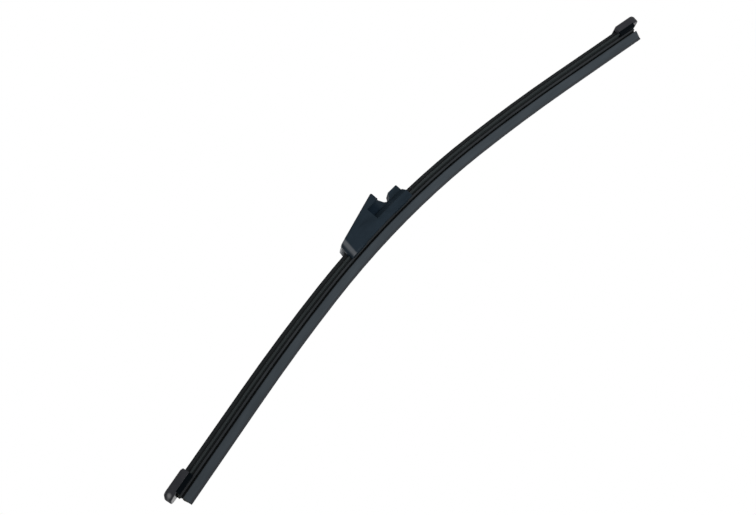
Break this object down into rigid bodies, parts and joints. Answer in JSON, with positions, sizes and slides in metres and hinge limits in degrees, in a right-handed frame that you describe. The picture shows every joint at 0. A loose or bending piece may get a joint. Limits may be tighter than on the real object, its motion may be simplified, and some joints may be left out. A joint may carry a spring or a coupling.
{
  "type": "wiper blade",
  "caption": "Bowed flat wiper blade for a rear window: rubber strip with spring rails in its grooves, end caps and a hooded connector with a saddle for the arm's cross pin.",
  "frame": {"origin": "on the axis of the arm's cross pin, in the blade's middle plane", "axes": "+X along the blade from the connector's hood towards its jaw, +Y along the pin, +Z away from the glass"},
  "size_m": [0.343, 0.0118, 0.0411],
  "materials": {
    "rubber": "matt, finely ground wiping lip",
    "spring_steel": "black coated, satin",
    "cap_plastic": "moulded, fine grain, satin",
    "connector_plastic": "moulded, fine grain, satin"
  },
  "bodies": {
    "root": {"wiper_rubber": "rubber", "spring_rail_front": "spring_steel", "spring_rail_rear": "spring_steel", "end_cap_left": "cap_plastic", "end_cap_right": "cap_plastic", "connector": "connector_plastic"}
  },
  "joints": []
}
